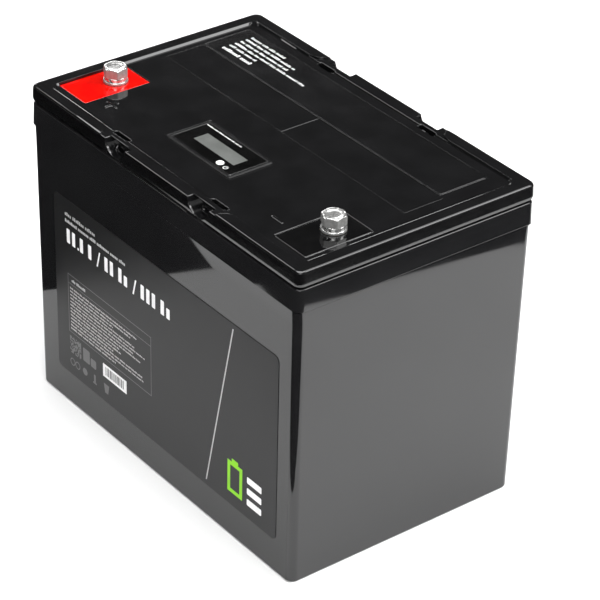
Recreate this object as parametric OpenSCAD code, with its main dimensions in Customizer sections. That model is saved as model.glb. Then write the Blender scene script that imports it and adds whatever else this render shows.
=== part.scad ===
// Deep cycle battery: moulded case and lid, threaded terminals, charge display,
// and a pack of four prismatic cells with its battery management board.
// Millimetres. X runs along the length, the label is on the -Y side, +Z is up,
// and the origin is at the centre of the base.

/* [Case] */
// Length of the case over the lid
body_l = 258; // [250:1:270]
// Width of the case over the lid
body_w = 166; // [160:1:172]
// Height to the top of the raised rim of the lid
body_h = 206; // [202:0.5:214]
// Height of the lid's skirt
skirt_h = 10.1; // [9:0.1:12]
// Height of the collar below the lid
collar_h = 14.2; // [10:0.2:18]
// How far the case walls stand in from the collar at their shoulder
step_in = 0.9; // [0.5:0.1:1.5]
// How far the case walls stand in from the collar at the base
foot_in = 1.85; // [1.5:0.05:2.5]
// Radius of the upright corners
corner_r = 4.3; // [3:0.1:6]
// Least thickness of the case walls
wall_t = 3.2; // [2.5:0.1:4]
// Thickness of the case floor
floor_t = 4; // [3:0.5:5]

/* [Lid] */
// Depth of the lid's surface below the raised rim
rim_drop = 1.4; // [1:0.1:2]
// Width of the raised rim
rim_w = 8.75; // [7:0.25:10]
// Gap between collar and lid, filled by the seal
seam_gap = 1; // [0.6:0.1:1.4]
// Thickness of the lid's top
lid_t = 3; // [2.5:0.1:4]

/* [Terminals] */
// Half the distance between the two terminals
terminal_x = 103.5; // [100:0.5:106]
// Middle of the two terminals along X
terminal_mid_x = -2.6; // [-4:0.1:0]
// Distance of the terminals from the middle of the width, towards the label
terminal_y = 38; // [34:0.5:42]
// Nominal radius of the terminal thread
thread_r = 4; // [3:0.5:4]
// Distance across the flats of a bolt head
head_af = 13; // [10:1:14]
// Height of a bolt head
head_h = 5.8; // [4:0.1:7]
// Length of a bolt's shank
shank_l = 15.5; // [12:0.5:18]

/* [Display] */
// Middle of the display along X
display_x = -4; // [-8:0.5:4]
// Middle of the display along Y
display_y = -37; // [-42:0.5:-32]
// Length of the display's bezel
bezel_l = 60; // [56:1:64]
// Width of the display's bezel
bezel_w = 31; // [28:1:34]

/* [Cells] */
// Thickness of one cell
cell_t = 36; // [34:0.5:37]
// Width of one cell
cell_w = 130; // [120:1:132]
// Height of one cell's can
cell_h = 158; // [150:1:160]

/* [Hidden] */
$fn = 48;
hull_fn = 32;
eps = 0.01;

// Place of a terminal along X: positive for s = -1, negative for s = 1
function terminal_at(s) = terminal_mid_x + s * terminal_x;

// Heights of the lid
rim_z = body_h;
surface_z = rim_z - rim_drop;
middle_z = rim_z - 0.9;
skirt_z = rim_z - skirt_h;
roof_z = surface_z - lid_t;
skirt_lean = 0.25;

// Heights of the case
collar_top = skirt_z - seam_gap;
collar_bottom = collar_top - collar_h;
collar_lean = 0.35;
wall_top = collar_bottom - 0.4;
cavity_l = body_l - 2 * (foot_in + wall_t);
cavity_w = body_w - 2 * (foot_in + wall_t);
// The walls have an even draft up to the shoulder. Above it the long walls flare out a little
// and the end walls lean in.
shoulder_z = wall_top - 9.5;
draft_angle = atan((foot_in - step_in) / shoulder_z);
long_wall_in = 0.45;
end_wall_in = 1.1;

// Terminal pockets and pads
pad_l = 27.6;
pad_w = 46;
pad_y = -45.5;
positive_pad_x = -106.5;
negative_pad_x = 101.5;
pocket_z = surface_z - 2.4;
pad_z = surface_z - 0.2;
post_z = pad_z;
post_r = 7;
flange_z = 192;
post_bottom = 186;
lug_t = 1.4;

// Washers
flat_washer_t = 1.6;
spring_washer_t = 2.3;
head_z = post_z + flat_washer_t + spring_washer_t;
hex_turn = 36;

// Strap anchors: a slot through the lid and a scoop in the skirt beside it
anchor_mid_x = -1.5;
slot_x = 46.6;
slot_y = 73;
slot_l = 14;
slot_w = 3.2;
scoop_x = 40;
scoop_r = 10;
scoop_y = 78.2;

// Where the raised rim ends beside the anchors
rim_end_x = 55;
rim_bend_r = 9;

// Rear cover strip and the panels in front of it
strip_x = -4;
strip_y = 48.5;
strip_l = 222;
strip_w = 35;
panel_front = 3.5;
panel_split = -0.6;

// Display
bezel_rise = 1;
frame_t = 2.6;
button_x = display_x + 13.3;
button_y = display_y - 9.5;
button_r = 2.4;
button_travel = 0.5;
lcd_l = 38;
lcd_w = 10;
board_z = 197.4;

// Cell pack
cell_pitch = cell_t + 1;
cell_z = floor_t + 4;
can_top = cell_z + cell_h;
stud_y = 40;
stud_r = 3;
plate_t = 4;
pack_l = 4 * cell_t + 3 + 2 * plate_t;
top_board_z = 178;
top_board_t = 1.6;
bms_z = 184;
bms_x = 10;
bms_y = 25;
bms_l = 90;
bms_w = 60;
lead_r = 3.5;

// ---------- shared shapes ----------

// Flat rectangle with round corners, centred
module rounded(l, w, r) {
    square([l - 2 * r, w], center = true);
    square([l, w - 2 * r], center = true);
    for (sx = [-1, 1], sy = [-1, 1])
        translate([sx * (l / 2 - r), sy * (w / 2 - r)]) circle(r = r);
}

// Upright block with round corners from height z0 to height z1
module block(l, w, r, z0, z1) {
    translate([0, 0, z0]) linear_extrude(z1 - z0) rounded(l, w, r);
}

// Thin slice of the case's outline, standing in by d, with its top at height z
module slice(d, z, r = corner_r) {
    translate([0, 0, z - eps])
        linear_extrude(eps) rounded(body_l - 2 * d, body_w - 2 * d, r, $fn = hull_fn);
}

// Thin slice of the walls, standing in by dx at the ends and by dy along the sides
module wall_slice(dx, dy, z) {
    translate([0, 0, z - eps])
        linear_extrude(eps) rounded(body_l - 2 * dx, body_w - 2 * dy, corner_r + 0.4, $fn = hull_fn);
}

module box(p0, p1) {
    translate(p0) cube(p1 - p0);
}

// Smooth curve through a list of points, n steps between neighbours
function spline_point(a, b, c, d, t) =
    0.5 * (2 * b + (c - a) * t + (2 * a - 5 * b + 4 * c - d) * t * t
    + (3 * b - a - 3 * c + d) * t * t * t);
function spline(p, n) = [
    for (i = [0 : len(p) - 2], k = [0 : n - 1])
        spline_point(p[max(i - 1, 0)], p[i], p[i + 1], p[min(i + 2, len(p) - 1)], k / n),
    p[len(p) - 1]
];
function unit(v) = v / norm(v);
function tangent(p, i, route) =
    i == 0 ? unit(route[1] - route[0])
    : i == len(p) - 1 ? unit(route[len(route) - 1] - route[len(route) - 2])
    : unit(p[i + 1] - p[i - 1]);
function side_of(t) = unit(cross(t, [0, 0, 1]));

// Round wire swept along a route that is never upright
module wire(route, r, steps = 3, sides = 8) {
    p = spline(route, steps);
    n = len(p);
    rings = [
        for (i = [0 : n - 1])
            let (t = tangent(p, i, route), u = side_of(t), v = cross(u, t))
            for (k = [0 : sides - 1])
                let (a = 360 * (k + 0.5) / sides)
                p[i] + r * (cos(a) * u + sin(a) * v)
    ];
    walls = [
        for (i = [0 : n - 2], k = [0 : sides - 1])
            let (a = i * sides + k, b = i * sides + (k + 1) % sides)
            [a, b, b + sides, a + sides]
    ];
    polyhedron(
        points = rings,
        faces = concat([[for (k = [sides - 1 : -1 : 0]) k]], walls,
            [[for (k = [0 : sides - 1]) (n - 1) * sides + k]]),
        convexity = 6
    );
}

// ---------- case and lid ----------

module case() {
    color("#2a2a2c") difference() {
        union() {
            hull() {
                slice(foot_in + 1.2, eps, corner_r + 0.8);
                slice(foot_in + 0.35, 0.35, corner_r + 0.8);
                slice(foot_in, 1.2, corner_r + 0.8);
                wall_slice(step_in, step_in, shoulder_z);
            }
            hull() {
                wall_slice(step_in, step_in, shoulder_z);
                wall_slice(end_wall_in, long_wall_in, wall_top);
            }
            hull() {
                wall_slice(end_wall_in, long_wall_in, wall_top);
                slice(0, collar_bottom);
                slice(collar_lean, collar_top - 1);
                slice(collar_lean + 0.3, collar_top - 0.3);
                slice(collar_lean + 1, collar_top);
            }
        }
        block(cavity_l, cavity_w, 3, floor_t, collar_top + 1);
    }
}

// Plan of the raised rim: everything outside the lid's sunken surface
module sunken_plan(drop_in) {
    rounded(body_l - 2 * rim_w - drop_in, body_w - 2 * rim_w - drop_in, 5);
}

// Plan of the lower middle stretch of the long sides, which bends out to the edge
module middle_plan() {
    reach = body_w / 2 + 2;
    inner = body_w / 2 - rim_w;
    difference() {
        translate([anchor_mid_x, 0])
            square([2 * (rim_end_x + rim_bend_r), 2 * reach], center = true);
        for (sx = [-1, 1], sy = [-1, 1])
            translate([anchor_mid_x + sx * (rim_end_x + rim_bend_r), sy * (inner + rim_bend_r)])
                circle(r = rim_bend_r);
        for (sx = [-1, 1], sy = [-1, 1])
            translate([anchor_mid_x + sx * (rim_end_x + rim_bend_r), sy * (inner + 2 * rim_bend_r)])
                square([2 * rim_bend_r, 2 * rim_bend_r], center = true);
    }
}

module lid_shell() {
    hull() {
        slice(0.9, skirt_z + eps);
        slice(0.35, skirt_z + 0.8);
        slice(0, skirt_z + 2.6);
        slice(skirt_lean, rim_z - 1.5);
        slice(skirt_lean + 0.45, rim_z - 0.45);
        slice(skirt_lean + 1.5, rim_z);
    }
}

// Stretch of the skirt between the scoops, which comes down onto the collar
module middle_apron() {
    for (sy = [-1, 1])
        translate([anchor_mid_x, sy * (body_w / 2 - 1.4), (collar_top + skirt_z + 1) / 2])
            cube([2 * (scoop_x - scoop_r) - 1, 2.8, skirt_z + 1 - collar_top], center = true);
}

module lid_top_cuts() {
    hull() {
        translate([0, 0, surface_z]) linear_extrude(eps) sunken_plan(1.8, $fn = hull_fn);
        translate([0, 0, rim_z]) linear_extrude(eps) sunken_plan(0, $fn = hull_fn);
    }
    translate([0, 0, middle_z]) linear_extrude(2) middle_plan();
    for (x = [positive_pad_x, negative_pad_x])
        translate([x, pad_y, 0]) block(pad_l, pad_w, 1.2, pocket_z, rim_z);
    translate([strip_x, strip_y, 0]) block(strip_l, strip_w, 2, surface_z - 0.9, rim_z);
}

module strap_slots() {
    for (sx = [-1, 1], sy = [-1, 1]) {
        translate([anchor_mid_x + sx * slot_x, sy * slot_y, 0])
            block(slot_l, slot_w, 1.2, skirt_z + 2, rim_z);
        translate([anchor_mid_x + sx * scoop_x, sy * scoop_y, rim_z + 0.4])
            rotate([-90 * sy, 0, 0]) cylinder(r = scoop_r, h = 8);
        translate([anchor_mid_x + sx * (scoop_x + 2), sy * (slot_y + 3), skirt_z + 4])
            cube([9, 6.4, 3.4], center = true);
    }
}

module lid_bosses() {
    for (x = [positive_pad_x, negative_pad_x])
        translate([x, pad_y, 0]) block(pad_l + 4, pad_w + 4, 2, skirt_z, roof_z + 1);
    for (sx = [-1, 1], sy = [-1, 1])
        translate([anchor_mid_x + sx * (slot_x - 1), sy * (slot_y + 0.8), 0])
            block(slot_l + 8, 7.4, 1, skirt_z - 5, roof_z + 1);
    translate([strip_x, strip_y, 0]) block(strip_l + 4, strip_w + 4, 2, roof_z - 1.2, roof_z + 1);
}

module lid() {
    tongue_l = cavity_l - 0.6;
    tongue_w = cavity_w - 0.6;
    lip = 2.3;
    color("#1d1d1f") difference() {
        union() {
            difference() {
                lid_shell();
                lid_top_cuts();
                block(tongue_l - 2 * lip, tongue_w - 2 * lip, 2, skirt_z - 1, roof_z);
            }
            difference() {
                block(tongue_l, tongue_w, 3, skirt_z - 6, skirt_z + 0.5);
                block(tongue_l - 2 * lip, tongue_w - 2 * lip, 2, skirt_z - 7, skirt_z + 1);
            }
            difference() {
                lid_bosses();
                lid_top_cuts();
            }
            box([strip_x - strip_l / 2 + 1, panel_front, surface_z - eps],
                [panel_split, strip_y - strip_w / 2 - 0.4, surface_z + 0.4]);
            box([panel_split - eps, panel_front, surface_z - eps],
                [strip_x + strip_l / 2 + 3, strip_y - strip_w / 2 - 0.4, surface_z + 0.12]);
            polarity_marks();
            middle_apron();
        }
        strap_slots();
        for (s = [-1, 1]) translate([terminal_at(s), -terminal_y, skirt_z - 1])
            cylinder(r = post_r, h = 12);
        for (s = [-1, 1]) translate([terminal_at(s), -terminal_y, skirt_z - 1])
            cylinder(r = 11, h = 1.5);
        translate([display_x, display_y, 0])
            block(bezel_l - 3, bezel_w - 3, 1, roof_z - 2, rim_z);
    }
}

// Raised plus and minus signs beside the pads
module polarity_marks() {
    for (s = [-1, 1]) translate([s * 79 - 3, -57, surface_z - eps]) {
        translate([-5, -1.1, 0]) cube([10, 2.2, 0.36]);
        if (s < 0) translate([-1.1, -5, 0]) cube([2.2, 10, 0.36]);
    }
}

module lid_seal() {
    color("#101010") difference() {
        block(body_l - 5.8, body_w - 5.8, corner_r - 1, collar_top, skirt_z);
        block(cavity_l, cavity_w, 3, collar_top - 1, skirt_z + 1);
    }
}

module rear_cover_strip() {
    color("#1a1a1c") translate([strip_x, strip_y, 0]) {
        block(strip_l - 0.8, strip_w - 0.8, 1.6, surface_z - 0.9, surface_z + 0.1);
        block(strip_l - 2, strip_w - 2, 1.2, surface_z + 0.1 - eps, surface_z + 0.4);
    }
}

// ---------- terminals ----------

module pad(x) {
    difference() {
        translate([x, pad_y, 0]) block(pad_l - 0.3, pad_w - 0.3, 1, pocket_z, pad_z);
        translate([terminal_at(sign(x)), -terminal_y, pocket_z - 1])
            cylinder(r = post_r + 0.15, h = 5);
    }
}

module positive_pad() {
    color("red") pad(positive_pad_x);
}

module negative_pad() {
    color("black") pad(negative_pad_x);
}

// Threaded brass insert: round post, flange under the lid, and a lower boss for the lug
module terminal(s) {
    translate([terminal_at(s), -terminal_y, 0]) difference() {
        union() {
            translate([0, 0, post_bottom]) cylinder(r = post_r - 0.05, h = post_z - post_bottom);
            translate([0, 0, flange_z]) cylinder(r = 10.9, h = skirt_z + 0.5 - flange_z);
        }
        translate([0, 0, post_z - shank_l + 2]) cylinder(r = thread_r, h = shank_l);
        translate([0, 0, post_bottom - 1]) cylinder(r = 2.5, h = 4.5);
    }
}

module positive_terminal() {
    color("goldenrod") terminal(-1);
}

module negative_terminal() {
    color("goldenrod") terminal(1);
}

// Hexagon bolt with a chamfered, dished head and a round shank
module bolt(s) {
    head_r = head_af / 2 / cos(30);
    translate([terminal_at(s), -terminal_y, head_z]) {
        difference() {
            intersection() {
                rotate([0, 0, hex_turn]) cylinder(r = head_r, h = head_h, $fn = 6);
                rotate_extrude() polygon([
                    [0, 0], [head_r - 0.5, 0], [head_r + 0.1, 0.35], [head_r + 0.1, head_h - 0.7],
                    [head_af / 2 - 0.2, head_h], [0, head_h]
                ]);
            }
            translate([0, 0, head_h - 0.7]) cylinder(r1 = 3.2, r2 = 5.4, h = 0.7 + eps);
        }
        translate([0, 0, -shank_l + spring_washer_t])
            cylinder(r = thread_r - 0.05, h = shank_l - spring_washer_t + eps);
        translate([0, 0, -shank_l + spring_washer_t - 1.2])
            cylinder(r1 = thread_r - 1, r2 = thread_r - 0.05, h = 1.2 + eps);
    }
}

module positive_bolt() {
    color("silver") bolt(-1);
}

module negative_bolt() {
    color("silver") bolt(1);
}

module flat_washer(s) {
    translate([terminal_at(s), -terminal_y, post_z]) rotate_extrude() polygon([
        [4.2, 0], [7.2, 0], [7.35, 0.15], [7.35, flat_washer_t - 0.3],
        [7.05, flat_washer_t], [4.2, flat_washer_t]
    ]);
}

module positive_flat_washer() {
    color("silver") flat_washer(-1);
}

module negative_flat_washer() {
    color("silver") flat_washer(1);
}

// Split ring with a slanted gap
module spring_washer(s) {
    translate([terminal_at(s), -terminal_y, post_z + flat_washer_t]) difference() {
        cylinder(r = 6.7, h = spring_washer_t);
        translate([0, 0, -1]) cylinder(r = 4.1, h = spring_washer_t + 2);
        rotate([0, 0, -62]) translate([5.4, 0, spring_washer_t / 2])
            rotate([35, 0, 0]) cube([4, 0.9, 6], center = true);
    }
}

module positive_spring_washer() {
    color("gainsboro") spring_washer(-1);
}

module negative_spring_washer() {
    color("gainsboro") spring_washer(1);
}

// ---------- charge display ----------

module display_bezel() {
    color("#151515") translate([display_x, display_y, 0]) difference() {
        union() {
            block(bezel_l, bezel_w, 1.5, surface_z, surface_z + bezel_rise - 0.4);
            block(bezel_l - 0.8, bezel_w - 0.8, 1.2, surface_z, surface_z + bezel_rise);
            block(bezel_l - 3.4, bezel_w - 3.4, 1, board_z + 1.6, surface_z + eps);
        }
        block(bezel_l - 2 * frame_t, bezel_w - 2 * frame_t, 0.6, surface_z, surface_z + 2);
        block(bezel_l - 2 * frame_t - 0.8, bezel_w - 2 * frame_t - 0.8, 0.6, board_z, surface_z + 1);
    }
}

module display_overlay() {
    color("black") difference() {
        translate([display_x, display_y, 0])
            block(bezel_l - 2 * frame_t - 0.3, bezel_w - 2 * frame_t - 0.3, 0.5,
                surface_z, surface_z + bezel_rise - 0.25);
        translate([display_x + 0.8, display_y, 0])
            block(lcd_l + 0.2, lcd_w + 0.2, 0.4, surface_z - 1, surface_z + 2);
        translate([button_x, button_y, surface_z - 1]) cylinder(r = button_r + 0.15, h = 3);
    }
}

module display_window() {
    color("#9aa0a0") translate([display_x + 0.8, display_y, 0])
        block(lcd_l, lcd_w, 0.3, surface_z, surface_z + bezel_rise - 0.3);
}

module lcd_module() {
    color("#708070") translate([display_x + 0.8, display_y + 1.5, 0]) {
        block(lcd_l + 6, lcd_w + 6, 0.5, board_z + 1.6, surface_z - 1.4);
        block(lcd_l + 2, lcd_w + 2, 0.5, surface_z - 1.4 - eps, surface_z - 0.4);
    }
}

module display_button() {
    color("white") translate([button_x, button_y, 0]) {
        translate([0, 0, surface_z - 0.4]) cylinder(r = button_r, h = bezel_rise + 0.3);
        translate([0, 0, surface_z + bezel_rise - 0.1 - eps])
            cylinder(r1 = button_r, r2 = button_r - 0.25, h = 0.25);
        translate([0, 0, board_z + 3.4]) cylinder(r = 1.4, h = surface_z - 0.3 - board_z - 3.4);
    }
}

module button_switch() {
    color("dimgray") translate([button_x, button_y, 0]) difference() {
        block(5, 5, 0.4, board_z + 1.6, board_z + 4.6);
        translate([0, 0, board_z + 2.2]) cylinder(r = 1.5, h = 4);
    }
}

// Snap dome under the button's stem
module switch_spring() {
    color("silver") translate([button_x, button_y, board_z + 2.2]) rotate_extrude() polygon([
        [0.9, 0], [1.3, 0], [1.3, 0.2], [0.5, 1.2], [0, 1.2], [0, 1], [0.4, 1]
    ]);
}

module display_board() {
    color("darkgreen") translate([display_x, display_y, 0]) difference() {
        block(bezel_l - 3.4, bezel_w - 3.4, 1, board_z, board_z + 1.6);
        for (sx = [-1, 1], sy = [-1, 1])
            translate([sx * (bezel_l / 2 - 3.3), sy * (bezel_w / 2 - 3.3), board_z - 1])
                cylinder(r = 0.75, h = 4);
    }
}

module display_connector() {
    color("ivory") box([display_x - 14, display_y + 3, board_z - 4],
        [display_x - 6, display_y + 9, board_z]);
}

module display_screws() {
    color("gray") translate([display_x, display_y, 0])
        for (sx = [-1, 1], sy = [-1, 1])
            translate([sx * (bezel_l / 2 - 3.3), sy * (bezel_w / 2 - 3.3), 0]) {
                translate([0, 0, board_z - 1.1]) cylinder(r = 1.4, h = 1.1);
                translate([0, 0, board_z - eps]) cylinder(r = 0.7, h = 1.6);
            }
}

module display_cable() {
    color("dimgray") wire([
        [-14, -28, 195.4], [-14, -24, 195.4], [-16, -15, 194.6], [-19, -7, 192.4],
        [-21, -1, 190.2], [-21, 4, 190.2]
    ], 1.4);
}

module front_label() {
    label_l = 220;
    label_h = 123;
    face_y = -(body_w / 2 - foot_in);
    color("#3a3a3d") translate([3, face_y, 0]) rotate([90 + draft_angle, 0, 0])
        translate([0, 22 + label_h / 2, 0]) linear_extrude(0.3) rounded(label_l, label_h, 4);
}

// ---------- cell pack ----------

// Prismatic cell: can, two studs on their seats, and a vent cap
module cell(i) {
    x = (i - 2.5) * cell_pitch;
    color("steelblue") translate([x, 0, cell_z]) {
        linear_extrude(cell_h) rounded(cell_t, cell_w, 3);
        for (s = [-1, 1]) translate([0, s * stud_y, cell_h - eps]) {
            cylinder(r = 9, h = 2);
            cylinder(r = stud_r, h = 10);
        }
        translate([0, 0, cell_h - eps]) cylinder(r = 6, h = 0.8);
    }
}

module cell_1() {
    cell(1);
}

module cell_2() {
    cell(2);
}

module cell_3() {
    cell(3);
}

module cell_4() {
    cell(4);
}

module cell_spacers() {
    color("ivory") for (i = [-1, 0, 1])
        translate([i * cell_pitch, 0, cell_z + cell_h / 2])
            cube([1, cell_w - 4, cell_h - 2], center = true);
}

module end_plates() {
    color("lightgray") for (s = [-1, 1])
        translate([s * (pack_l / 2 - plate_t / 2), 0, 0])
            block(plate_t, cell_w, 1, cell_z, can_top);
}

module pack_straps() {
    color("silver") for (z = [45, 125]) difference() {
        block(pack_l + 1.6, cell_w + 1.6, 1.8, z, z + 14);
        block(pack_l, cell_w, 1, z - 1, z + 15);
    }
}

// Links between neighbouring cells, and a landing tab at each end of the chain
module busbars() {
    seat = can_top + 2;
    color("orange") difference() {
        union() {
            for (p = [[-1, 1], [0, -1], [1, 1]])
                translate([p[0] * cell_pitch, p[1] * stud_y, 0])
                    block(cell_pitch + 18, 20, 4, seat, seat + 2);
        }
        for (i = [1 : 4], s = [-1, 1])
            translate([(i - 2.5) * cell_pitch, s * stud_y, seat - 1])
                cylinder(r = stud_r + 0.2, h = 4);
    }
}

module busbar_nuts() {
    seat = can_top + 2;
    color("silver") for (i = [1 : 4], s = [-1, 1]) {
        end_post = s < 0 && (i == 1 || i == 4);
        translate([(i - 2.5) * cell_pitch, s * stud_y, seat + (end_post ? lug_t : 2)])
            difference() {
                cylinder(r = 5.77, h = 5, $fn = 6);
                translate([0, 0, -1]) cylinder(r = stud_r + 0.02, h = 7);
            }
    }
}

module pack_top_board() {
    color("seagreen") difference() {
        block(pack_l, 96, 3, top_board_z, top_board_z + top_board_t);
        for (sx = [-1, 1], sy = [-1, 1])
            translate([sx * (pack_l / 2 - 3), sy * 20, top_board_z - 1]) cylinder(r = 1.7, h = 4);
        for (sx = [-1, 1], sy = [-1, 1])
            translate([bms_x + sx * (bms_l / 2 - 4), bms_y + sy * (bms_w / 2 - 8), top_board_z - 1])
                cylinder(r = 1.7, h = 4);
    }
}

// Pillars that carry the top board on the end plates and the BMS board on the top board
module board_pillars() {
    color("white") {
        for (sx = [-1, 1], sy = [-1, 1])
            translate([sx * (pack_l / 2 - 3), sy * 20, 0]) {
                translate([0, 0, can_top]) cylinder(r = 2, h = top_board_z - can_top);
                translate([0, 0, top_board_z - eps]) cylinder(r = 1.6, h = top_board_t);
            }
        for (sx = [-1, 1], sy = [-1, 1])
            translate([bms_x + sx * (bms_l / 2 - 4), bms_y + sy * (bms_w / 2 - 8), 0])
                translate([0, 0, top_board_z + top_board_t])
                    cylinder(r = 3, h = bms_z - top_board_z - top_board_t);
    }
}

module bms_board() {
    color("green") difference() {
        translate([bms_x, bms_y, 0]) block(bms_l, bms_w, 2, bms_z, bms_z + 1.6);
        for (sx = [-1, 1], sy = [-1, 1])
            translate([bms_x + sx * (bms_l / 2 - 4), bms_y + sy * (bms_w / 2 - 8), bms_z - 1])
                cylinder(r = 1.6, h = 4);
    }
}

module bms_screws() {
    color("gray") for (sx = [-1, 1], sy = [-1, 1])
        translate([bms_x + sx * (bms_l / 2 - 4), bms_y + sy * (bms_w / 2 - 8), 0]) {
            translate([0, 0, bms_z]) cylinder(r = 1.5, h = 1.6 + eps);
            translate([0, 0, bms_z + 1.6]) cylinder(r = 2.8, h = 1.8);
        }
}

module bms_transistors() {
    color("#222222") for (i = [0 : 5], j = [0, 1])
        translate([bms_x - 24 + 9.5 * i, bms_y + 6 + 12 * j, bms_z + 1.6])
            translate([-3.5, -4.5, 0]) cube([7, 9, 2.4]);
}

module bms_heat_sink() {
    z = bms_z + 4;
    color("lightgray") {
        box([bms_x - 30, bms_y, z], [bms_x + 30, bms_y + 24, z + 2.5]);
        for (k = [0 : 5]) {
            y = bms_y + 0.6 + 4.4 * k;
            box([bms_x - 30, y, z + 2.5 - eps], [bms_x + 30, y + 1, z + 6.5]);
        }
    }
}

module bms_shunt() {
    color("peru") {
        box([bms_x + 18, bms_y - 16, bms_z + 1.6], [bms_x + 22, bms_y - 10, bms_z + 3.2]);
        box([bms_x + 34, bms_y - 16, bms_z + 1.6], [bms_x + 38, bms_y - 10, bms_z + 3.2]);
        box([bms_x + 18, bms_y - 16, bms_z + 3.2 - eps], [bms_x + 38, bms_y - 10, bms_z + 4]);
    }
}

module bms_connectors() {
    color("ivory") {
        box([bms_x - 35, bms_y - 21, bms_z + 1.6], [bms_x - 27, bms_y - 15, bms_z + 7.6]);
        box([bms_x - 20, bms_y - 28, bms_z + 1.6], [bms_x + 2, bms_y - 22, bms_z + 7.6]);
        box([bms_x - 20, bms_y - 47, top_board_z + top_board_t], [bms_x + 2, bms_y - 41, bms_z + 3.6]);
    }
}

// Five sense wires from the management board to the top board
module balance_wires() {
    color("firebrick") for (x = [-7 : 4 : 9])
        wire([
            [x, -3, 188.5], [x, -5, 188.5], [x, -8, 187.8], [x, -11, 186],
            [x, -13, 184.8], [x, -16, 184.8]
        ], 0.8);
}

// Nickel tabs that tie each link and each end post to the top board
module sense_tabs() {
    color("silver") {
        for (p = [[-1, 1], [0, -1], [1, 1]])
            translate([p[0] * cell_pitch - 2, p[1] * stud_y - 0.25, can_top + 4])
                cube([4, 0.5, top_board_z - can_top - 4]);
        for (s = [-1, 1])
            translate([s * 1.5 * cell_pitch - 1.5, -stud_y + 8, can_top + 2])
                cube([3, 0.5, top_board_z - can_top - 2]);
    }
}

module temperature_sensor() {
    color("black") {
        translate([0, 0, can_top]) translate([18.5, 14, 0]) block(7, 5, 1, 0, 3);
        wire([[18.5, 11.5, can_top + 1.5], [18, 6, can_top + 2.5], [17, 1, can_top + 4],
            [16, -4, can_top + 6], [15, -9, can_top + 7]], 0.9);
    }
}

// ---------- leads ----------

module positive_lead() {
    color("red") wire([
        [-70, -40, 171], [-76, -40, 171], [-83, -36, 172], [-87, -27, 174], [-88, -15, 177],
        [-91, -5, 181], [-98, 0, 184.5], [-103.6, -4, 187], [-106.1, -14, 187.6],
        [-106.1, -23.5, 187.6]
    ], lead_r);
}

module pack_negative_lead() {
    color("black") wire([
        [70, -40, 171], [76, -40, 171], [83, -36, 173], [87, -26, 177], [86, -13, 182],
        [80, -1, 187], [71, 9, 189.5], [60, 14, 189], [48, 14, 189]
    ], lead_r);
}

module negative_lead() {
    color("black") wire([
        [48, 36, 189], [60, 36, 189], [75, 34, 189], [88, 27, 189], [96, 15, 189],
        [100.4, 0, 188], [100.9, -14, 187.6], [100.9, -23.5, 187.6]
    ], lead_r);
}

// Ring lug: flat ring with a hole, and a barrel along the given direction
module lug(turn, hole) {
    rotate([0, 0, turn]) {
        difference() {
            union() {
                cylinder(r = 7.5, h = lug_t);
                translate([0, -4, 0]) cube([10, 8, lug_t]);
            }
            translate([0, 0, -1]) cylinder(r = hole, h = lug_t + 2);
        }
        translate([9, 0, 3]) rotate([0, 90, 0]) cylinder(r = 2.6, h = 5.5);
        translate([8.9, -2, 0]) cube([3, 4, 2]);
    }
}

module lead_lugs() {
    color("silver") {
        for (s = [-1, 1]) {
            translate([s * 1.5 * cell_pitch, -stud_y, can_top + 2])
                lug(s < 0 ? 180 : 0, stud_r + 0.1);
            translate([terminal_at(s), -terminal_y, post_bottom - lug_t]) lug(90, 3.1);
        }
    }
}

module terminal_screws() {
    color("gray") for (s = [-1, 1]) translate([terminal_at(s), -terminal_y, 0]) {
        translate([0, 0, post_bottom - lug_t - 3.4]) cylinder(r = 4.6, h = 3.4);
        translate([0, 0, post_bottom - lug_t - eps]) cylinder(r = 2.45, h = lug_t + 3);
    }
}

// ---------- packing foam ----------

module base_foam() {
    color("#444444") translate([0, 0, floor_t])
        linear_extrude(4) rounded(cavity_l - 1, cavity_w - 1, 3);
}

module end_foam() {
    x0 = pack_l / 2 + 0.8;
    x1 = cavity_l / 2 - 0.5;
    color("#555555") for (s = [-1, 1])
        translate([s * (x0 + x1) / 2, 0, 0])
            block(x1 - x0, cavity_w - 1, 3, cell_z, 150);
}

module side_foam() {
    y0 = cell_w / 2 + 0.8;
    y1 = cavity_w / 2 - 0.5;
    color("#555555") for (s = [-1, 1])
        translate([0, s * (y0 + y1) / 2, 0])
            block(pack_l + 1.4, y1 - y0, 1, cell_z, 150);
}

case();
lid();
lid_seal();
rear_cover_strip();
positive_pad();
negative_pad();
positive_terminal();
negative_terminal();
positive_bolt();
negative_bolt();
positive_flat_washer();
negative_flat_washer();
positive_spring_washer();
negative_spring_washer();
display_bezel();
display_overlay();
display_window();
lcd_module();
display_button();
button_switch();
switch_spring();
display_board();
display_connector();
display_screws();
display_cable();
front_label();
cell_1();
cell_2();
cell_3();
cell_4();
cell_spacers();
end_plates();
pack_straps();
busbars();
busbar_nuts();
pack_top_board();
sense_tabs();
board_pillars();
bms_board();
bms_transistors();
bms_heat_sink();
bms_shunt();
bms_connectors();
bms_screws();
balance_wires();
temperature_sensor();
positive_lead();
pack_negative_lead();
negative_lead();
lead_lugs();
terminal_screws();
base_foam();
end_foam();
side_foam();
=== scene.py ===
import math
import random

import bmesh
import bpy
from mathutils import Matrix, Vector
from mathutils.kdtree import KDTree


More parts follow.
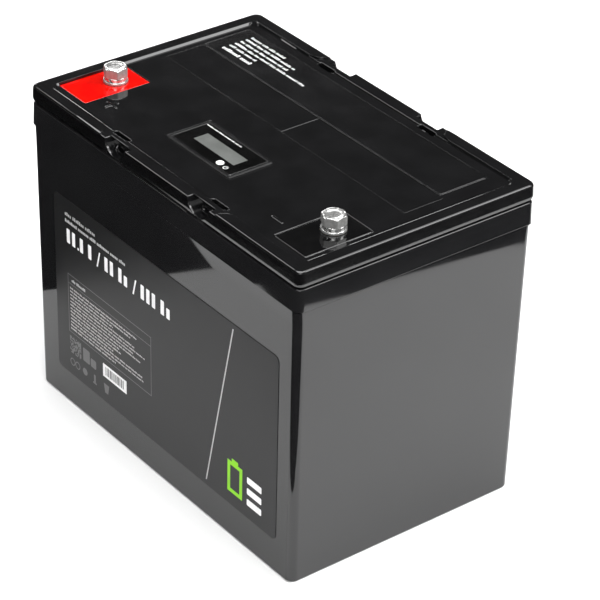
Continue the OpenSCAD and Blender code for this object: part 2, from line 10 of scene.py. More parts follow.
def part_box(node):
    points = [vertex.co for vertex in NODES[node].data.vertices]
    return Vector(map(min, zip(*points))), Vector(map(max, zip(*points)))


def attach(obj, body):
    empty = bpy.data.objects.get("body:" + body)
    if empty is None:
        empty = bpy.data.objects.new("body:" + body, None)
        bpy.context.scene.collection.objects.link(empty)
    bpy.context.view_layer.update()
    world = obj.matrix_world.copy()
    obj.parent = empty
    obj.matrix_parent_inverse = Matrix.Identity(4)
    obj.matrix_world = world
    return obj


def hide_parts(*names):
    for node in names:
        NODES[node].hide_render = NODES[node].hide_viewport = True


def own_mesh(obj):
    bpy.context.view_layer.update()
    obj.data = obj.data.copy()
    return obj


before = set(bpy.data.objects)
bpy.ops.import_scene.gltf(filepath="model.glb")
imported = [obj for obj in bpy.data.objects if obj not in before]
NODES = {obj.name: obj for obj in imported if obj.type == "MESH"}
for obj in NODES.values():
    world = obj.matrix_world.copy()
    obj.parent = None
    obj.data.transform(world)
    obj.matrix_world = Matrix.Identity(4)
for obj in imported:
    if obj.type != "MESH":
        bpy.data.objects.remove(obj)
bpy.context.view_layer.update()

MM = 0.001
# How far printed shapes stand above their surface and reach below it
INK_RISE = 0.03 * MM
INK_SINK = 0.05 * MM
# Sides of a printed disc or ring
ROUND_STEPS = 32
# Angle between two faces, in degrees, from which their edge counts as sharp
CORNER_ANGLE = 50
# Points this close are one, and faces whose angle in degrees is below this are one flat
WELD = 0.001 * MM
FLAT_ANGLE = 0.5
# Share of the free room beside an edge that its rounding may take
ROOM_SHARE = 0.4
# Share of the other edges' rounding that the barely seen edges get
FAINT_SHARE = 0.2
# The lid's low panel: drop of its floor from the rim, height of its step, reach from the strip
PANEL_DROP = 1.45 * MM
PANEL_STEP = 0.6 * MM
PANEL_REACH = 27.9 * MM
# Distance from the rear edge of the lid that takes in the rear rim
RIM_REACH = 9 * MM
# The bolts: height of the head, radius of the plain shank, and the thread drawn on it
HEAD_H = 5.8 * MM
SHANK_R = 3.95 * MM
THREAD_ROOT = 3.3 * MM
THREAD_PITCH = 1.25 * MM
THREAD_RUN_IN = 1.2 * MM
THREAD_RUN_OUT = 0.8 * MM
THREAD_SLOPE = 2.4
THREAD_TROUGH = 0.1


# ---------- camera, floor and light ----------

def look_from(azimuth, elevation, roll):
    """Right, up and back directions of a camera looking at the object, in the frame."""
    a, e, r = (math.radians(x) for x in (azimuth, elevation, roll))
    back = Vector((math.sin(a) * math.cos(e), -math.cos(a) * math.cos(e), math.sin(e)))
    right = Vector((math.cos(a), math.sin(a), 0))
    up = right.cross(-back)
    return right * math.cos(r) + up * math.sin(r), up * math.cos(r) - right * math.sin(r), back


def make_camera():
    """The photo's own view, from a fit of the camera to the photo's edges."""
    right, up, back = look_from(azimuth=51.613, elevation=32.262, roll=1.719)
    away, aside, above = 1599.633 * MM, 15.847 * MM, -5.494 * MM
    middle = Vector((0, 0, 100 * MM))
    data = bpy.data.cameras.new("camera")
    camera = bpy.data.objects.new("camera", data)
    bpy.context.scene.collection.objects.link(camera)
    place = middle + back * away + right * aside + up * above
    turn = Matrix((right, up, back)).transposed().to_4x4()
    camera.matrix_world = Matrix.Translation(place) @ turn
    data.sensor_width = 36
    data.lens = 163.443
    data.clip_start = 0.05
    data.clip_end = 20
    bpy.context.scene.camera = camera


def flat_sheet(name, corners, z):
    """Level sheet of the stage at height z, from its corners in order."""
    mesh = bpy.data.meshes.new(name)
    mesh.from_pydata([(x, y, z) for x, y in corners], [], [range(len(corners))])
    sheet = bpy.data.objects.new(name, mesh)
    bpy.context.scene.collection.objects.link(sheet)
    return sheet


def make_floor():
    reach = 6
    floor = flat_sheet("floor", [(-reach, -reach), (reach, -reach), (reach, reach), (-reach, reach)],
                       -0.2 * MM)
    floor.data.materials.append(surface("floor_paint", (0.86, 0.86, 0.86), (0.89, 0.89, 0.89),
                                        rough=(0.85, 0.95), size=0.4, specular=0.1))


def make_dark_surround():
    """Dark cards that only gloss can see: what lies beyond the pale table in the studio."""
    lean = math.radians(22.5)
    along = Vector((math.cos(lean), math.sin(lean)))
    away = Vector((math.sin(lean), -math.cos(lean)))
    left, right, front, back = -0.246, 0.406, 0.203, -0.62
    far = 1.6
    black = surface("dark_card", (0.002, 0.002, 0.002), (0.003, 0.003, 0.003), rough=(0.9, 1),
                    size=0.3, specular=0)
    cards = {
        "left_card": (-far, left, -far, far),
        "right_card": (right, far, -far, far),
        "front_card": (left, right, front, far),
        "back_card": (left, right, -far, back),
    }
    for name, (n0, n1, d0, d1) in cards.items():
        corners = [along * n + away * d for n, d in ((n0, d0), (n1, d0), (n1, d1), (n0, d1))]
        card = flat_sheet(name, corners, 1 * MM)
        card.data.materials.append(black)
        card.visible_camera = False
        card.visible_diffuse = False
        card.visible_transmission = False
        card.visible_volume_scatter = False
        card.visible_shadow = False


def soft_light(name, place, aim, size, power):
    """Rectangular light of that size and power in watts, out of the camera's sight."""
    data = bpy.data.lights.new(name, "AREA")
    data.shape = "RECTANGLE"
    data.size, data.size_y = size
    data.energy = power
    light = bpy.data.objects.new(name, data)
    light.location = place
    light.rotation_mode = "QUATERNION"
    light.rotation_quaternion = (Vector(aim) - Vector(place)).to_track_quat("-Z", "Y")
    bpy.context.scene.collection.objects.link(light)
    light.visible_camera = False
    return light


def gloss_panel(name, place, size, radiance):
    """Soft light that shows only in gloss, for the thin lights along the edges."""
    power = radiance * math.pi * size[0] * size[1]
    panel = soft_light(name, place, (0, 0, 0.2), size, power)
    panel.visible_diffuse = False
    panel.visible_transmission = False
    panel.visible_volume_scatter = False


def make_light():
    """Broad lights that set the tones, and gloss panels for the lights along the edges."""
    world = bpy.data.worlds.new("studio")
    world.use_nodes = True
    background = world.node_tree.nodes["Background"]
    background.inputs["Color"].default_value = (1, 1, 1, 1)
    background.inputs["Strength"].default_value = 0.06
    bpy.context.scene.world = world
    soft_light("top_light", (0.1, -0.1, 2.2), (0, 0, 0.1), (1.8, 1.8), 80)
    key = soft_light("key_light", (1.0, 1.2, 1.5), (0.1, 0, 0), (0.8, 0.8), 56)
    key.visible_glossy = False
    soft_light("front_light", (1.3, -1.1, 1.1), (0, 0, 0.15), (0.8, 0.8), 16)
    gloss_panel("low_back_panel", (-1.78, 0.91, 0.62), (0.9, 0.72), 4.5)
    gloss_panel("high_back_panel", (0.4, 1.1, 2.1), (2.2, 1.0), 4)
    gloss_panel("high_left_panel", (-1.5, -0.1, 1.75), (0.8, 0.5), 6)
    gloss_panel("back_right_panel", (1.1, 1.2, 1.35), (0.8, 0.7), 9)
    bpy.context.scene.view_settings.view_transform = "Standard"


# ---------- materials ----------

def noise_value(tree, size, stretch):
    """A noise value over the object, whose lumps are about size metres wide."""
    place = tree.nodes.new("ShaderNodeTexCoord")
    mapping = tree.nodes.new("ShaderNodeMapping")
    mapping.inputs["Scale"].default_value = stretch
    noise = tree.nodes.new("ShaderNodeTexNoise")
    noise.inputs["Scale"].default_value = 1 / size
    noise.inputs["Detail"].default_value = 3
    tree.links.new(place.outputs["Object"], mapping.inputs["Vector"])
    tree.links.new(mapping.outputs["Vector"], noise.inputs["Vector"])
    return noise.outputs["Fac"]


def blend_colours(tree, value, dark, light):
    """Colour between dark and light that follows the value."""
    ramp = tree.nodes.new("ShaderNodeValToRGB")
    ramp.color_ramp.elements[0].position = 0.35
    ramp.color_ramp.elements[0].color = (*dark, 1)
    ramp.color_ramp.elements[1].position = 0.65
    ramp.color_ramp.elements[1].color = (*light, 1)
    tree.links.new(value, ramp.inputs["Fac"])
    return ramp.outputs["Color"]


def map_value(tree, value, low, high):
    """Number between low and high that follows the value."""
    mapped = tree.nodes.new("ShaderNodeMapRange")
    mapped.inputs["From Min"].default_value = 0.3
    mapped.inputs["From Max"].default_value = 0.7
    mapped.inputs["To Min"].default_value = low
    mapped.inputs["To Max"].default_value = high
    tree.links.new(value, mapped.inputs["Value"])
    return mapped.outputs["Result"]


def add_bump(tree, shader, height, depth):
    bump = tree.nodes.new("ShaderNodeBump")
    bump.inputs["Strength"].default_value = 1
    bump.inputs["Distance"].default_value = depth
    tree.links.new(height, bump.inputs["Height"])
    tree.links.new(bump.outputs["Normal"], shader.inputs["Normal"])


def add_side_roughness(tree, roughness, extra):
    """Roughness with extra on the faces that stand upright."""
    geometry = tree.nodes.new("ShaderNodeNewGeometry")
    split = tree.nodes.new("ShaderNodeSeparateXYZ")
    upright = tree.nodes.new("ShaderNodeMapRange")
    upright.inputs["From Min"].default_value = 0.1
    upright.inputs["From Max"].default_value = 0.3
    upright.inputs["To Min"].default_value = extra
    upright.inputs["To Max"].default_value = 0
    total = tree.nodes.new("ShaderNodeMath")
    tree.links.new(geometry.outputs["Normal"], split.inputs["Vector"])
    tree.links.new(split.outputs["Z"], upright.inputs["Value"])
    tree.links.new(upright.outputs["Result"], total.inputs[0])
    tree.links.new(roughness, total.inputs[1])
    return total.outputs["Value"]


def surface(name, dark, light, rough, size, metallic=0.0, specular=0.5, coat=0.0,
            grain=None, depth=0.0, stretch=(1, 1, 1), side_extra=0.0):
    """Material with mottled colour and roughness, and a fine grain if it has one."""
    material = bpy.data.materials.new(name)
    material.use_nodes = True
    tree = material.node_tree
    shader = tree.nodes["Principled BSDF"]
    shader.inputs["Metallic"].default_value = metallic
    shader.inputs["Specular IOR Level"].default_value = specular
    shader.inputs["Coat Weight"].default_value = coat
    mottle = noise_value(tree, size, stretch)
    tree.links.new(blend_colours(tree, mottle, dark, light), shader.inputs["Base Color"])
    roughness = map_value(tree, mottle, *rough)
    if side_extra:
        roughness = add_side_roughness(tree, roughness, side_extra)
    tree.links.new(roughness, shader.inputs["Roughness"])
    if grain:
        add_bump(tree, shader, noise_value(tree, grain, stretch), depth)
    return material


def paint(material, *names):
    """Give the named CAD nodes that material."""
    for name in names:
        node = NODES[name]
        if not node.material_slots:
            node.data.materials.append(material)
        for slot in node.material_slots:
            slot.material = material


def paint_case():
    paint(surface("case_plastic", (0.008, 0.008, 0.0085), (0.010, 0.010, 0.0105), (0.045, 0.065),
                  0.03, grain=0.004, depth=0.001 * MM), "case")
    paint(surface("lid_plastic", (0.0030, 0.0030, 0.0032), (0.0042, 0.0042, 0.0045), (0.05, 0.09),
                  0.02, grain=0.004, depth=0.001 * MM, side_extra=0.12), "lid")
    paint(surface("strip_plastic", (0.0030, 0.0030, 0.0032), (0.0042, 0.0042, 0.0045), (0.08, 0.13),
                  0.02, grain=0.002, depth=0.002 * MM), "rear_cover_strip")
    paint(surface("seal_rubber", (0.003, 0.003, 0.003), (0.006, 0.006, 0.006), (0.6, 0.8), 0.005,
                  specular=0.3, grain=0.0008, depth=0.02 * MM), "lid_seal")
    paint(surface("label_film", (0.0135, 0.0135, 0.014), (0.0155, 0.0155, 0.016), (0.3, 0.36), 0.02,
                  specular=0.2, grain=0.0004, depth=0.002 * MM), "front_label")


def paint_terminals():
    paint(surface("red_plastic", (0.44, 0.0010, 0.0003), (0.54, 0.0030, 0.0004), (0.04, 0.07), 0.01,
                  specular=0.35, grain=0.003, depth=0.002 * MM), "positive_pad")
    paint(surface("black_plastic", (0.0012, 0.0012, 0.0013), (0.0022, 0.0022, 0.0023), (0.03, 0.06),
                  0.01, grain=0.003, depth=0.002 * MM), "negative_pad")
    paint(surface("brass", (0.62, 0.42, 0.16), (0.78, 0.55, 0.24), (0.22, 0.34), 0.002, metallic=1,
                  grain=0.0003, depth=0.004 * MM), "positive_terminal", "negative_terminal")
    paint(surface("zinc_steel", (0.50, 0.50, 0.49), (0.62, 0.62, 0.61), (0.20, 0.28), 0.0016,
                  metallic=0.86, grain=0.0004, depth=0.004 * MM, side_extra=0.3),
          "positive_bolt", "negative_bolt", "positive_flat_washer", "negative_flat_washer")
    paint(surface("spring_steel", (0.62, 0.62, 0.61), (0.80, 0.80, 0.79), (0.22, 0.34), 0.0012,
                  metallic=0.85, grain=0.0003, depth=0.003 * MM),
          "positive_spring_washer", "negative_spring_washer")


def paint_display():
    paint(surface("bezel_plastic", (0.0030, 0.0030, 0.0032), (0.0044, 0.0044, 0.0047), (0.10, 0.16),
                  0.01, grain=0.001, depth=0.002 * MM), "display_bezel")
    paint(surface("overlay_film", (0.0006, 0.0006, 0.0006), (0.0010, 0.0010, 0.0010), (0.10, 0.14),
                  0.01, specular=0.2, grain=0.0008, depth=0.001 * MM), "display_overlay")
    paint(surface("lcd_glass", (0.080, 0.084, 0.080), (0.098, 0.102, 0.098), (0.10, 0.15), 0.012,
                  specular=0.4, grain=0.0006, depth=0.001 * MM), "display_window", "lcd_module")
    paint(surface("button_plastic", (0.70, 0.70, 0.69), (0.80, 0.80, 0.79), (0.25, 0.35), 0.001,
                  grain=0.0005, depth=0.004 * MM), "display_button")


def paint_inside():
    paint(surface("cell_wrap", (0.015, 0.08, 0.30), (0.02, 0.10, 0.36), (0.18, 0.30), 0.02, coat=0.3,
                  grain=0.002, depth=0.01 * MM), "cell_1", "cell_2", "cell_3", "cell_4")
    paint(surface("spacer_sheet", (0.62, 0.58, 0.46), (0.72, 0.68, 0.56), (0.6, 0.8), 0.004,
                  specular=0.3, grain=0.0006, depth=0.02 * MM), "cell_spacers")
    paint(surface("plate_aluminium", (0.55, 0.56, 0.57), (0.66, 0.67, 0.68), (0.28, 0.42), 0.003,
                  metallic=1, grain=0.0004, depth=0.006 * MM, stretch=(1, 1, 0.08)), "end_plates")
    paint(surface("band_steel", (0.42, 0.43, 0.45), (0.56, 0.57, 0.59), (0.22, 0.36), 0.002,
                  metallic=1, grain=0.0003, depth=0.005 * MM, stretch=(0.06, 0.06, 1)),
          "pack_straps")
    paint(surface("bright_steel", (0.50, 0.50, 0.50), (0.66, 0.66, 0.66), (0.18, 0.30), 0.0015,
                  metallic=1, grain=0.0003, depth=0.004 * MM),
          "busbar_nuts", "bms_screws", "terminal_screws", "display_screws", "switch_spring",
          "sense_tabs")
    paint(surface("copper", (0.66, 0.27, 0.14), (0.80, 0.38, 0.22), (0.22, 0.38), 0.004, metallic=1,
                  grain=0.0005, depth=0.005 * MM, stretch=(0.1, 1, 1)),
          "busbars", "bms_shunt", "lead_lugs")
    paint(surface("circuit_board", (0.006, 0.060, 0.024), (0.012, 0.100, 0.040), (0.28, 0.42),
                  0.0025, coat=0.2, grain=0.0009, depth=0.02 * MM),
          "bms_board", "display_board", "pack_top_board")
    paint(surface("chip_plastic", (0.008, 0.008, 0.009), (0.016, 0.016, 0.017), (0.45, 0.6), 0.001,
                  grain=0.0002, depth=0.006 * MM), "bms_transistors", "button_switch")
    paint(surface("heat_sink_aluminium", (0.30, 0.31, 0.32), (0.42, 0.43, 0.44), (0.3, 0.45),
                  0.002, metallic=1, grain=0.0004, depth=0.006 * MM, stretch=(0.08, 1, 1)),
          "bms_heat_sink")
    paint(surface("connector_plastic", (0.60, 0.57, 0.48), (0.70, 0.67, 0.58), (0.35, 0.5), 0.002,
                  grain=0.0004, depth=0.005 * MM),
          "bms_connectors", "display_connector", "board_pillars")
    paint(surface("black_insulation", (0.010, 0.010, 0.010), (0.018, 0.018, 0.018), (0.35, 0.5),
                  0.003, grain=0.0005, depth=0.01 * MM),
          "balance_wires", "temperature_sensor", "display_cable", "pack_negative_lead",
          "negative_lead")
    paint(surface("red_insulation", (0.45, 0.010, 0.006), (0.58, 0.018, 0.010), (0.35, 0.5), 0.003,
                  grain=0.0005, depth=0.01 * MM), "positive_lead")
    paint(surface("foam_pad", (0.030, 0.030, 0.032), (0.060, 0.060, 0.064), (0.85, 0.95), 0.002,
                  specular=0.2, grain=0.0012, depth=0.15 * MM),
          "base_foam", "end_foam", "side_foam")


# ---------- rounded edges ----------

def is_corner(edge):
    """True for an edge that stands out sharply between its two faces."""
    if len(edge.link_faces) != 2 or not edge.is_convex:
        return False
    return edge.calc_face_angle(0) > math.radians(CORNER_ANGLE)


def corner_chains(edges):
    """Sharp edges in runs that end where three or more of them meet."""
    at = {}
    for edge in edges:
        for vert in edge.verts:
            at.setdefault(vert, []).append(edge)
    chain_of = {}
    count = 0
    for first in edges:
        if first in chain_of:
            continue
        chain_of[first] = count
        waiting = [first]
        while waiting:
            edge = waiting.pop()
            for vert in edge.verts:
                if len(at[vert]) != 2:
                    continue
                for other in at[vert]:
                    if other not in chain_of:
                        chain_of[other] = count
                        waiting.append(other)
        count += 1
    meets = {chain: {chain} for chain in range(count)}
    for found in at.values():
        joined = {chain_of[edge] for edge in found}
        for chain in joined:
            meets[chain] |= joined
    return chain_of, meets


def room_by_chain(chain_of, meets, reach):
    """Distance from each run to the nearest run that doesn't touch it, up to reach."""
    spacing = 0.3 * reach
    points = []
    for edge, chain in chain_of.items():
        a, b = (v.co for v in edge.verts)
        steps = max(1, int((b - a).length / spacing))
        points += [(a.lerp(b, (k + 0.5) / steps), chain) for k in range(steps)]
    tree = KDTree(len(points))
    for i, (place, _) in enumerate(points):
        tree.insert(place, i)
    tree.balance()
    room = {chain: reach for chain in meets}
    for place, chain in points:
        for _, i, distance in tree.find_range(place, reach):
            if points[i][1] not in meets[chain]:
                room[chain] = min(room[chain], distance)
    return room


def keep_in_box(piece, node):
    """Bake the piece's rounding and hold every point inside the CAD node's box."""
    graph = bpy.context.evaluated_depsgraph_get()
    made = bpy.data.meshes.new_from_object(piece.evaluated_get(graph), depsgraph=graph)
    low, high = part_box(node)
    for vert in made.vertices:
        vert.co = [min(max(c, a), b) for c, a, b in zip(vert.co, low, high)]
    piece.modifiers.clear()
    piece.data = made


def rounded(node, width, body="root", segments=2, merge=False, reshape=None,
            faint=None):
    """Stand in for a CAD node with a copy whose sharp edges are rounded by up to width.

    merge joins flat faces first, reshape moves the points, and faint tells which edges
    get only a little rounding.
    """
    source = NODES[node]
    bm = bmesh.new()
    bm.from_mesh(source.data)
    bmesh.ops.remove_doubles(bm, verts=bm.verts, dist=WELD)
    if merge:
        bmesh.ops.dissolve_limit(bm, angle_limit=math.radians(FLAT_ANGLE), verts=bm.verts,
                                 edges=bm.edges)
    if reshape:
        for vert in bm.verts:
            vert.co = reshape(vert.co)
    bm.normal_update()
    weight = bm.edges.layers.float.new("bevel_weight_edge")
    corners = [e for e in bm.edges if is_corner(e)]
    chain_of, meets = corner_chains(corners)
    room = room_by_chain(chain_of, meets, 3 * width)
    for edge in bm.edges:
        edge.smooth = edge in chain_of or edge.calc_face_angle(0) < math.radians(CORNER_ANGLE)
    for edge, chain in chain_of.items():
        edge[weight] = min(1, ROOM_SHARE * room[chain] / width)
        if faint and faint(edge):
            edge[weight] *= FAINT_SHARE
    for face in bm.faces:
        face.smooth = True
    mesh = bpy.data.meshes.new(node + "_rounded")
    bm.to_mesh(mesh)
    bm.free()
    mesh.materials.append(source.material_slots[0].material)
    piece = bpy.data.objects.new(node + "_rounded", mesh)
    bpy.context.scene.collection.objects.link(piece)
    bevel = piece.modifiers.new("round", "BEVEL")
    bevel.limit_method = "WEIGHT"
    bevel.width = width
    bevel.segments = segments
    bevel.use_clamp_overlap = False
    bevel.harden_normals = True
    piece.modifiers.new("even", "WEIGHTED_NORMAL").keep_sharp = True
    keep_in_box(piece, node)
    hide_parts(node)
    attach(piece, body)
    return piece


# ---------- bolts ----------

def slim_shank(axis, head_z):
    """Function that draws a bolt's shank in to the root of its thread."""
    scale = THREAD_ROOT / SHANK_R

    def reshape(co):
        if co.z > head_z - 0.1 * MM:
            return co
        return Vector((axis.x + (co.x - axis.x) * scale, axis.y + (co.y - axis.y) * scale, co.z))
    return reshape


def add_thread(side, axis, bottom, top):
    """Helical thread as one closed tube around the shank."""
    around, per_turn = 40, 10
    rows = round((top - bottom) / THREAD_PITCH * per_turn)
    bm = bmesh.new()
    rings = []
    for row in range(rows + 1):
        z = bottom + (top - bottom) * row / rows
        fade = min(1, (z - bottom) / THREAD_RUN_IN, (top - z) / THREAD_RUN_OUT)
        ring = []
        for k in range(around):
            a = 2 * math.pi * k / around
            phase = (z / THREAD_PITCH - k / around) % 1
            flank = THREAD_SLOPE * (0.5 - abs(phase - 0.5)) - THREAD_TROUGH
            rise = max(0, min(1, flank))
            r = THREAD_ROOT + (SHANK_R - THREAD_ROOT) * rise * fade
            ring.append(bm.verts.new((axis.x + r * math.cos(a), axis.y + r * math.sin(a), z)))
        rings.append(ring)
    for low, high in zip(rings, rings[1:]):
        for k in range(around):
            j = (k + 1) % around
            bm.faces.new((low[k], low[j], high[j], high[k])).smooth = True
    bm.faces.new(rings[0][::-1])
    bm.faces.new(rings[-1])
    mesh = bpy.data.meshes.new(side + "_bolt_thread")
    bm.to_mesh(mesh)
    bm.free()
    piece = bpy.data.objects.new(side + "_bolt_thread", mesh)
    bpy.context.scene.collection.objects.link(piece)
    mesh.materials.append(NODES[side + "_bolt"].material_slots[0].material)
    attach(piece, side + "_bolt")


def faint_edges():
    """Function that tells the edges of the lid's low panel and rear rim, which barely show."""
    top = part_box("lid")[1]
    floor = top.z - PANEL_DROP
    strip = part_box("rear_cover_strip")
    front, side = strip[0].y - PANEL_REACH, strip[1].x + 1 * MM

    def test(edge):
        low = all(floor < v.co.z < floor + PANEL_STEP for v in edge.verts)
        at_front = all(abs(v.co.y - front) < 0.3 * MM for v in edge.verts)
        at_side = all(v.co.x > side and front < v.co.y + 0.3 * MM for v in edge.verts)
        rear = all(v.co.z > top.z - 0.3 * MM and v.co.y > top.y - RIM_REACH for v in edge.verts)
        return rear or low and (at_front or at_side)
    return test


def make_bolts():
    """Both bolts with rounded edges and a thread, and their washers."""
    for side in ("positive", "negative"):
        low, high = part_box(side + "_bolt")
        axis = (low + high) / 2
        head_z = high.z - HEAD_H
        rounded(side + "_bolt", 0.3 * MM, side + "_bolt", reshape=slim_shank(axis, head_z))
        add_thread(side, axis, low.z + 0.05 * MM, head_z - 0.1 * MM)
        rounded(side + "_flat_washer", 0.2 * MM, side + "_washers")
        rounded(side + "_spring_washer", 0.3 * MM, side + "_washers")


def make_switch_spring():
    """The button's spring, as a piece of its own in place of the CAD node."""
    source = NODES["switch_spring"]
    piece = bpy.data.objects.new("switch_spring_coils", source.data.copy())
    bpy.context.scene.collection.objects.link(piece)
    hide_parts("switch_spring")
    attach(piece, "root")
    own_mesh(piece)


# ---------- printed graphics ----------

class Ink:
    """Printed shapes gathered into one thin closed mesh that lies on a surface."""

    def __init__(self, name, place):
        self.name = name
        self.place = place
        self.bm = bmesh.new()

    def outline(self, points):
        """One filled shape, from its corners in order."""
        top = [self.bm.verts.new(self.place(u, v, INK_RISE)) for u, v in points]
        low = [self.bm.verts.new(self.place(u, v, -INK_SINK)) for u, v in points]
        self.bm.faces.new(top)
        self.bm.faces.new(low[::-1])
        for i in range(len(points)):
            j = (i + 1) % len(points)
            self.bm.faces.new((low[i], low[j], top[j], top[i]))

    def bar(self, u0, v0, u1, v1, r=0.0):
        """Rectangle from corner to corner, with corners rounded by r."""
        if r <= 0:
            self.outline([(u0, v0), (u1, v0), (u1, v1), (u0, v1)])
            return
        steps = 4
        middles = [(u1 - r, v1 - r, 0), (u0 + r, v1 - r, 1), (u0 + r, v0 + r, 2), (u1 - r, v0 + r, 3)]
        points = []
        for u, v, quarter in middles:
            for k in range(steps + 1):
                a = (quarter + k / steps) * math.pi / 2
                points.append((u + r * math.cos(a), v + r * math.sin(a)))
        self.outline(points)

    def box(self, u0, v0, u1, v1, line):
        """Open rectangle drawn with a line of that width."""
        self.bar(u0, v0, u1, v0 + line)
        self.bar(u0, v1 - line, u1, v1)
        self.bar(u0, v0 + line, u0 + line, v1 - line)
        self.bar(u1 - line, v0 + line, u1, v1 - line)

    def disc(self, u, v, r):
        turns = [2 * math.pi * k / ROUND_STEPS for k in range(ROUND_STEPS)]
        self.outline([(u + r * math.cos(a), v + r * math.sin(a)) for a in turns])

    def arc(self, u, v, r, line, start=0.0, sweep=360.0):
        """Ring, or part of one from start through sweep degrees."""
        for k in range(ROUND_STEPS):
            a, b = (math.radians(start + sweep * (k + i) / ROUND_STEPS) for i in (0, 1))
            rings = [(r + line / 2, a), (r + line / 2, b), (r - line / 2, b), (r - line / 2, a)]
            self.outline([(u + d * math.cos(t), v + d * math.sin(t)) for d, t in rings])

    def words(self, u0, v0, u1, height, draw, fill=0.62):
        """Line of letter-sized blocks in word groups, which stands for small print."""
        u = u0
        step = height * 0.72
        while u < u1 - step:
            for _ in range(min(draw.randint(3, 8), int((u1 - u) / step))):
                tall = draw.random() < 0.35
                self.bar(u, v0, u + step * fill, v0 + height * (1 if tall else 0.74))
                u += step
            u += step * 0.7

    def done(self, material):
        """Turn the gathered shapes into a piece of that material."""
        mesh = bpy.data.meshes.new(self.name)
        bmesh.ops.recalc_face_normals(self.bm, faces=self.bm.faces)
        self.bm.to_mesh(mesh)
        self.bm.free()
        piece = bpy.data.objects.new(self.name, mesh)
        bpy.context.scene.collection.objects.link(piece)
        mesh.materials.append(material)
        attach(piece, "root")


def label_place():
    """Function from label coordinates in millimetres, X and height, to the frame."""
    low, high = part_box("front_label")
    points = [v.co for v in NODES["front_label"].data.vertices]
    foot = min(p.y for p in points if p.z < low.z + 1 * MM)
    lean = (low.y - foot) / (high.z - low.z)

    def place(u, v, rise):
        z = v * MM
        return Vector((u * MM, foot + lean * (z - low.z) - rise, z))
    return place


def flat_place(z):
    """Function from X and Y in millimetres to a level surface at height z."""
    return lambda u, v, rise: Vector((u * MM, v * MM, z + rise))


def ink_material(name, colour):
    light = tuple(min(1, c * 1.08) for c in colour)
    return surface(name, colour, light, (0.4, 0.5), 0.004, specular=0.3, grain=0.0003,
                   depth=0.001 * MM)


def print_rating(place, white):
    """Row of plain blocks where the rating stands."""
    ink = Ink("label_rating", place)
    base, height, r = 115.5, 9.6, 0.5
    u = -94.0
    shares = {"b": 1, "h": 0.72, ".": 0.17}
    for group in ("bb.b", "b", "/", "bb", "bh", "/", "bbb", "bh"):
        for sign in group:
            if sign == "/":
                ink.outline([(u, base - 1), (u + 1.3, base - 1), (u + 4.1, base + height),
                             (u + 2.8, base + height)])
                u += 5.2
            else:
                wide = 1.6 if sign == "." else 3.3
                ink.bar(u, base, u + wide, base + height * shares[sign], r)
                u += 2.7 if sign == "." else 5.6
        u += 3.1
    ink.done(white)


def print_small_lines(place, pale):
    """Rows of small blocks where the label's small print stands."""
    ink = Ink("label_small_print", place)
    draw = random.Random(3)
    ink.words(-95.4, 133.6, -63.5, 2.4, draw)
    ink.words(-95.4, 129.2, -32.5, 2.2, draw, 0.8)
    ink.words(-90.0, 89.6, -74.0, 1.9, draw, 0.8)
    ends = [-22, -28, -46, -24, -14, -26, -18, -40, -38, -46, -16, -15, -44]
    for row, end in enumerate(ends):
        ink.words(-92.0, 84.2 - row * 2.38, end, 1.15, draw, 0.8)
    ink.done(pale)


def print_lines(place, grey, pale):
    """Frame of the table and the long slanted line."""
    frame_lines = Ink("label_table_frame", place)
    frame_lines.box(-94.2, 53.0, -7.5, 94.0, 0.45)
    frame_lines.bar(-93.7, 87.4, -8, 87.8)
    frame_lines.done(grey)
    stroke = Ink("label_slanted_line", place)
    stroke.outline([(46.6, 26.0), (47.6, 26.0), (72.1, 141.6), (71.1, 141.6)])
    stroke.done(pale)


def print_codes(place, white, black, grey):
    """Bars and squares, in no code's order, where the codes stand."""
    draw = random.Random(11)
    plate = Ink("label_code_plate", place)
    plate.bar(-58.2, 39.9, -33.4, 49.1)
    plate.done(white)
    bars = Ink("label_code_bars", lambda u, v, rise: place(u, v, rise + INK_RISE))
    u = -55.4
    while u < -36.5:
        width = draw.choice((0.35, 0.5, 0.8))
        bars.bar(u, 41.6, u + width, 47.6)
        u += width + draw.choice((0.4, 0.6, 0.9))
    bars.done(black)
    grid = Ink("label_square_grid", place)
    cells, pitch, fill = 13, 0.92, 0.96
    left, low = -93.6, 38.2
    for i in range(cells):
        for j in range(cells):
            if draw.random() < 0.5:
                grid.bar(left + i * pitch, low + j * pitch,
                         left + (i + fill) * pitch, low + (j + fill) * pitch)
    grid.done(grey)


def print_symbols(place, grey):
    """Plain shapes where the approval symbols stand."""
    ink = Ink("label_symbols", place)
    ink.bar(-79.6, 39.4, -72.4, 48.8, 1)
    ink.bar(-71.4, 39.4, -65.6, 45.4, 1)
    ink.arc(-91.2, 31.8, 2.3, 0.6)
    ink.arc(-85.8, 31.8, 2.3, 0.6)
    ink.disc(-77.8, 31.8, 2.5)
    ink.bar(-68.2, 28.6, -66.4, 35.2, 0.4)
    ink.bar(-69.2, 28.6, -65.4, 29.8, 0.4)
    ink.outline([(-57.6, 35), (-52, 35), (-53.2, 28.6), (-56.4, 28.6)])
    ink.done(grey)


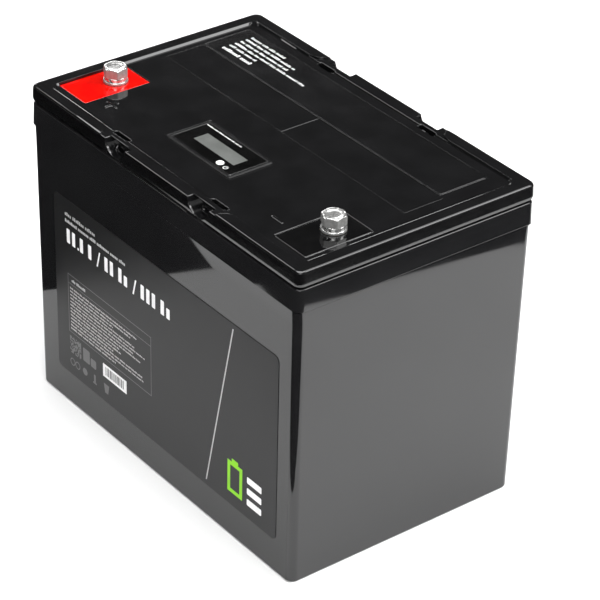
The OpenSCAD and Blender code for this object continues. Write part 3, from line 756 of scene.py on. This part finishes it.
def print_emblem(place, green, white):
    """Plain charge-level sign: an upright cell outline in green with three white levels."""
    cell = Ink("label_charge_sign", place)
    cell.box(67.5, 31, 81.5, 52.5, 2.6)
    cell.bar(71.5, 52.5, 77.5, 54.8, 0.5)
    cell.done(green)
    levels = Ink("label_charge_levels", place)
    for k in range(3):
        levels.bar(86, 31 + 7.6 * k, 99.5, 35.4 + 7.6 * k, 0.7)
    levels.done(white)


def print_lid(white):
    """Rows of small blocks on the cover strip, and the display's line and power ring."""
    place = flat_place(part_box("rear_cover_strip")[1].z)
    ink = Ink("strip_small_print", place)
    draw = random.Random(5)
    for row, end in enumerate((-70.4, -54.5, -56.5, -36.3, -76.5)):
        ink.words(-104, 59.0 - 4.05 * row, end, 2.0, draw, 0.42)
    ink.words(-104, 37.4, -75, 2.8, draw, 0.5)
    ink.done(white)
    top = flat_place(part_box("display_overlay")[1].z)
    line = Ink("display_print", top)
    line.words(-30.6, -26.6, 2.4, 1.1, draw, 0.5)
    line.arc(15.4, -47.2, 1.4, 0.34, 120, 300)
    line.bar(15.25, -47, 15.55, -45.4)
    line.done(white)


def print_graphics():
    place = label_place()
    white = ink_material("white_ink", (0.80, 0.80, 0.80))
    pale = ink_material("pale_ink", (0.42, 0.42, 0.42))
    grey = ink_material("grey_ink", (0.12, 0.12, 0.12))
    black = ink_material("black_ink", (0.01, 0.01, 0.01))
    green = ink_material("green_ink", (0.22, 0.60, 0.002))
    print_rating(place, white)
    print_small_lines(place, pale)
    print_lines(place, grey, pale)
    print_codes(place, white, black, grey)
    print_symbols(place, grey)
    print_emblem(place, green, white)
    print_lid(white)


make_camera()
make_floor()
make_dark_surround()
make_light()
paint_case()
paint_terminals()
paint_display()
paint_inside()
rounded("case", 0.35 * MM, merge=True)
rounded("front_label", 0.2 * MM, merge=True)
rounded("lid", 0.7 * MM, segments=3, merge=True, faint=faint_edges())
rounded("rear_cover_strip", 0.25 * MM, merge=True)
rounded("positive_pad", 0.6 * MM)
rounded("negative_pad", 0.6 * MM)
rounded("display_bezel", 0.6 * MM, segments=3)
make_bolts()
make_switch_spring()
print_graphics()
